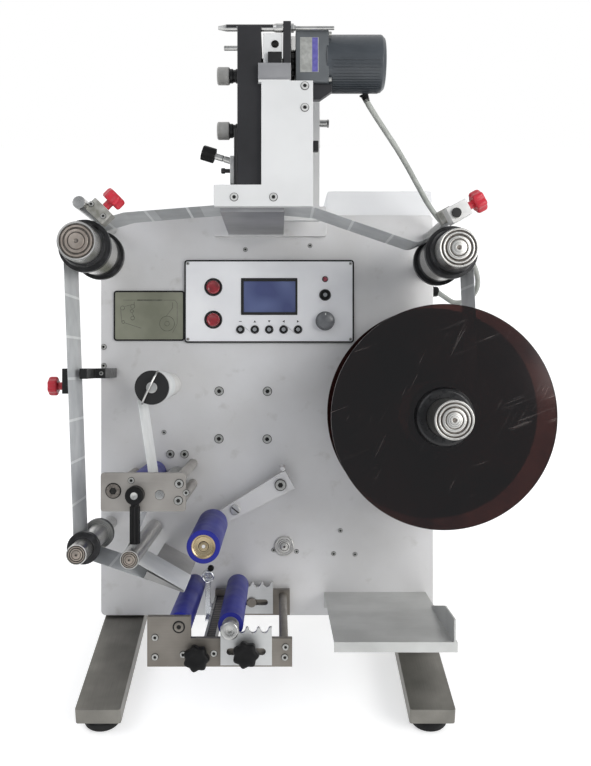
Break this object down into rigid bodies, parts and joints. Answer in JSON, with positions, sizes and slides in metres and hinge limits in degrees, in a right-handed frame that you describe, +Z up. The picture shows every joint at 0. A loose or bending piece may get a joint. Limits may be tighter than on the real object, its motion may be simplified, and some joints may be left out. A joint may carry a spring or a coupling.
{
  "type": "bottle labeling machine",
  "caption": "Desk-top labeller for round bottles: leaning face plate with label reel, idlers, date coder, peel plate, bottle rollers and control panel.",
  "frame": {"origin": "centre of the machine's footprint box, on the surface it stands on", "axes": "+Z up, -Y towards the operator, +X to the operator's right; the face plate leans back 16 degrees"},
  "size_m": [0.5744, 0.478, 0.7554],
  "materials": {
    "bead_blasted_aluminium": "fine satin, clear anodised",
    "turned_aluminium": "turned, bright",
    "panel_aluminium": "brushed and printed",
    "sheet_steel": "brushed",
    "white_enamel": "smooth satin paint",
    "housing_enamel": "fine textured paint",
    "black_anodised": "black anodised, satin",
    "motor_enamel": "satin paint",
    "black_nylon": "matt black",
    "black_rubber": "matt black rubber",
    "blue_polyurethane": "ground polyurethane, soft sheen",
    "red_plastic": "glossy red",
    "grey_plastic": "matt grey",
    "amber_acrylic": "polished dark amber sheet",
    "olive_film": "printed film",
    "label_paper": "satin label stock on liner",
    "roll_paper": "wound paper edge",
    "cable_grey": "grey cable sheath"
  },
  "bodies": {
    "frame": {"main_plate": "bead_blasted_aluminium", "rear_housing": "housing_enamel", "left_foot_bar": "bead_blasted_aluminium", "right_foot_bar": "bead_blasted_aluminium", "front_left_foot": "black_rubber", "front_right_foot": "black_rubber", "rear_left_foot": "black_rubber", "rear_right_foot": "black_rubber", "control_panel": "panel_aluminium", "info_panel": "olive_film", "traction_bracket": "bead_blasted_aluminium", "lower_roller_frame": "bead_blasted_aluminium", "coder_mount": "bead_blasted_aluminium", "coder_frame": "white_enamel", "coder_body": "black_anodised", "coder_motor": "motor_enamel", "left_clamp_rod": "turned_aluminium", "right_clamp_rod": "turned_aluminium", "label_sensor": "black_nylon", "upper_label_web": "label_paper", "lower_label_web": "label_paper", "peel_plate": "bead_blasted_aluminium", "bottle_tray": "sheet_steel", "motor_cable": "cable_grey"},
    "power_switch": {"power_switch": "red_plastic"},
    "run_switch": {"run_switch": "red_plastic"},
    "key_1": {"key_1": "black_nylon"},
    "key_2": {"key_2": "black_nylon"},
    "key_3": {"key_3": "black_nylon"},
    "key_4": {"key_4": "black_nylon"},
    "key_5": {"key_5": "black_nylon"},
    "start_button": {"start_button": "black_nylon"},
    "speed_knob": {"speed_knob": "grey_plastic"},
    "upper_left_idler": {"upper_left_idler": "black_nylon"},
    "upper_right_idler": {"upper_right_idler": "black_nylon"},
    "lower_left_idler": {"lower_left_idler": "black_nylon"},
    "guide_roller": {"guide_roller": "turned_aluminium"},
    "reel": {"reel_hub": "turned_aluminium", "label_roll": "roll_paper", "reel_front_disc": "amber_acrylic"},
    "rewind_spool": {"rewind_spool": "roll_paper"},
    "traction_roller": {"traction_roller": "turned_aluminium"},
    "release_lever": {"release_lever": "black_nylon"},
    "pinch_roller": {"pinch_roller": "blue_polyurethane"},
    "roller_arm": {"roller_arm": "bead_blasted_aluminium"},
    "top_bottle_roller": {"top_bottle_roller": "blue_polyurethane"},
    "left_bottle_roller": {"left_bottle_roller": "blue_polyurethane"},
    "roller_carriage": {"front_notched_plate": "turned_aluminium", "rear_notched_plate": "turned_aluminium"},
    "right_bottle_roller": {"right_bottle_roller": "blue_polyurethane"},
    "left_star_knob": {"left_star_knob": "black_nylon"},
    "right_star_knob": {"right_star_knob": "black_nylon"},
    "bottle_stop": {"bottle_stop": "turned_aluminium"},
    "print_head": {"print_head": "turned_aluminium"},
    "ribbon_tension_knob": {"ribbon_tension_knob": "grey_plastic"},
    "ribbon_spool": {"ribbon_spool": "grey_plastic"},
    "setting_knob": {"setting_knob": "black_nylon"},
    "left_clamp_knob": {"left_clamp_knob": "red_plastic"},
    "right_clamp_knob": {"right_clamp_knob": "red_plastic"},
    "sensor_knob": {"sensor_knob": "red_plastic"}
  },
  "joints": [
    {"name": "power_switch_rock", "type": "hinge", "parent": "frame", "child": "power_switch", "pos_m": [-0.10406, 0.0991, 0.44275], "axis": [-1, 0, 0], "range_deg": [0, 16]},
    {"name": "run_switch_rock", "type": "hinge", "parent": "frame", "child": "run_switch", "pos_m": [-0.10406, 0.08763, 0.40276], "axis": [-1, 0, 0], "range_deg": [0, 16]},
    {"name": "key_1_press", "type": "slide", "parent": "frame", "child": "key_1", "axis": [0, 0.9613, -0.2756], "range_m": [0, 0.0015], "stiffness_N_per_m": 300, "springref_m": -0.002},
    {"name": "key_2_press", "type": "slide", "parent": "frame", "child": "key_2", "axis": [0, 0.9613, -0.2756], "range_m": [0, 0.0015], "stiffness_N_per_m": 300, "springref_m": -0.002},
    {"name": "key_3_press", "type": "slide", "parent": "frame", "child": "key_3", "axis": [0, 0.9613, -0.2756], "range_m": [0, 0.0015], "stiffness_N_per_m": 300, "springref_m": -0.002},
    {"name": "key_4_press", "type": "slide", "parent": "frame", "child": "key_4", "axis": [0, 0.9613, -0.2756], "range_m": [0, 0.0015], "stiffness_N_per_m": 300, "springref_m": -0.002},
    {"name": "key_5_press", "type": "slide", "parent": "frame", "child": "key_5", "axis": [0, 0.9613, -0.2756], "range_m": [0, 0.0015], "stiffness_N_per_m": 300, "springref_m": -0.002},
    {"name": "start_button_press", "type": "slide", "parent": "frame", "child": "start_button", "axis": [0, 0.9613, -0.2756], "range_m": [0, 0.0015], "stiffness_N_per_m": 300, "springref_m": -0.002},
    {"name": "speed_knob_turn", "type": "hinge", "parent": "frame", "child": "speed_knob", "pos_m": [0.03874, 0.08719, 0.40123], "axis": [0, -0.9613, 0.2756], "range_deg": [-135, 135]},
    {"name": "upper_left_idler_spin", "type": "hinge", "parent": "frame", "child": "upper_left_idler", "pos_m": [-0.23436, -0.00632, 0.50575], "axis": [0, -0.9613, 0.2756], "continuous": true},
    {"name": "upper_right_idler_spin", "type": "hinge", "parent": "frame", "child": "upper_right_idler", "pos_m": [0.16964, -0.00825, 0.49902], "axis": [0, -0.9613, 0.2756], "continuous": true},
    {"name": "lower_left_idler_spin", "type": "hinge", "parent": "frame", "child": "lower_left_idler", "pos_m": [-0.23576, -0.098, 0.18603], "axis": [0, -0.9613, 0.2756], "continuous": true},
    {"name": "guide_roller_spin", "type": "hinge", "parent": "frame", "child": "guide_roller", "pos_m": [-0.17936, -0.09949, 0.18084], "axis": [0, -0.9613, 0.2756], "continuous": true},
    {"name": "reel_spin", "type": "hinge", "parent": "frame", "child": "reel", "pos_m": [0.16224, -0.05828, 0.32455], "axis": [0, -0.9613, 0.2756], "continuous": true},
    {"name": "rewind_spin", "type": "hinge", "parent": "frame", "child": "rewind_spool", "pos_m": [-0.16096, -0.04932, 0.35579], "axis": [0, -0.9613, 0.2756], "continuous": true},
    {"name": "traction_spin", "type": "hinge", "parent": "frame", "child": "traction_roller", "pos_m": [-0.15078, -0.04501, 0.23298], "axis": [0, -0.9613, 0.2756], "continuous": true},
    {"name": "release_lever_turn", "type": "hinge", "parent": "frame", "child": "release_lever", "pos_m": [-0.17636, -0.14186, 0.26165], "axis": [0, -0.9613, 0.2756], "range_deg": [0, 40]},
    {"name": "pinch_roller_spin", "type": "hinge", "parent": "release_lever", "child": "pinch_roller", "pos_m": [-0.17836, -0.04367, 0.23766], "axis": [0, -0.9613, 0.2756], "continuous": true},
    {"name": "roller_arm_swing", "type": "hinge", "parent": "frame", "child": "roller_arm", "pos_m": [-0.01836, 0.01139, 0.20835], "axis": [0, 0.9613, -0.2756], "range_deg": [0, 12]},
    {"name": "top_bottle_roller_spin", "type": "hinge", "parent": "roller_arm", "child": "top_bottle_roller", "pos_m": [-0.10196, -0.08981, 0.1892], "axis": [0, -0.9613, 0.2756], "continuous": true},
    {"name": "left_bottle_roller_spin", "type": "hinge", "parent": "frame", "child": "left_bottle_roller", "pos_m": [-0.12636, -0.10615, 0.11045], "axis": [0, -0.9613, 0.2756], "continuous": true},
    {"name": "roller_carriage_slide", "type": "slide", "parent": "frame", "child": "roller_carriage", "axis": [1, 0, 0], "range_m": [-0.007, 0.007]},
    {"name": "right_bottle_roller_spin", "type": "hinge", "parent": "roller_carriage", "child": "right_bottle_roller", "pos_m": [-0.07176, -0.10615, 0.11045], "axis": [0, -0.9613, 0.2756], "continuous": true},
    {"name": "left_star_knob_turn", "type": "hinge", "parent": "frame", "child": "left_star_knob", "pos_m": [-0.10636, -0.21991, 0.1128], "axis": [0, -0.9613, 0.2756], "continuous": true},
    {"name": "right_star_knob_turn", "type": "hinge", "parent": "frame", "child": "right_star_knob", "pos_m": [-0.05476, -0.22317, 0.11956], "axis": [0, -0.9613, 0.2756], "continuous": true},
    {"name": "bottle_stop_slide", "type": "slide", "parent": "frame", "child": "bottle_stop", "axis": [0, -0.9613, 0.2756], "range_m": [-0.02, 0.13]},
    {"name": "print_head_stroke", "type": "slide", "parent": "frame", "child": "print_head", "axis": [0, -0.2756, -0.9613], "range_m": [0, 0.003], "stiffness_N_per_m": 1500, "springref_m": -0.003},
    {"name": "ribbon_tension_turn", "type": "hinge", "parent": "frame", "child": "ribbon_tension_knob", "pos_m": [-0.08336, 0.03136, 0.69884], "axis": [-1, 0, 0], "continuous": true},
    {"name": "ribbon_spool_spin", "type": "hinge", "parent": "frame", "child": "ribbon_spool", "pos_m": [-0.08336, 0.01427, 0.63924], "axis": [-1, 0, 0], "continuous": true},
    {"name": "setting_knob_turn", "type": "hinge", "parent": "frame", "child": "setting_knob", "pos_m": [-0.09405, -0.01384, 0.61378], "axis": [-0.9563, 0.0806, 0.281], "continuous": true},
    {"name": "left_clamp_knob_turn", "type": "hinge", "parent": "frame", "child": "left_clamp_knob", "pos_m": [-0.20222, -0.04152, 0.56801], "axis": [0.7071, 0.1949, 0.6797], "continuous": true},
    {"name": "right_clamp_knob_turn", "type": "hinge", "parent": "frame", "child": "right_clamp_knob", "pos_m": [0.19443, -0.05328, 0.56693], "axis": [0.8829, 0.1294, 0.4513], "continuous": true},
    {"name": "sensor_knob_turn", "type": "hinge", "parent": "frame", "child": "sensor_knob", "pos_m": [-0.27824, -0.03861, 0.35324], "axis": [-1, 0, 0], "continuous": true}
  ],
  "couplings": [
    {"joint": "upper_right_idler_spin", "follows": "reel_spin", "ratio": 1.5882},
    {"joint": "upper_left_idler_spin", "follows": "reel_spin", "ratio": 1.5882},
    {"joint": "lower_left_idler_spin", "follows": "reel_spin", "ratio": 3.24},
    {"joint": "guide_roller_spin", "follows": "reel_spin", "ratio": -3.8571},
    {"joint": "traction_spin", "follows": "reel_spin", "ratio": -3.24},
    {"joint": "rewind_spin", "follows": "reel_spin", "ratio": -2.25}
  ]
}
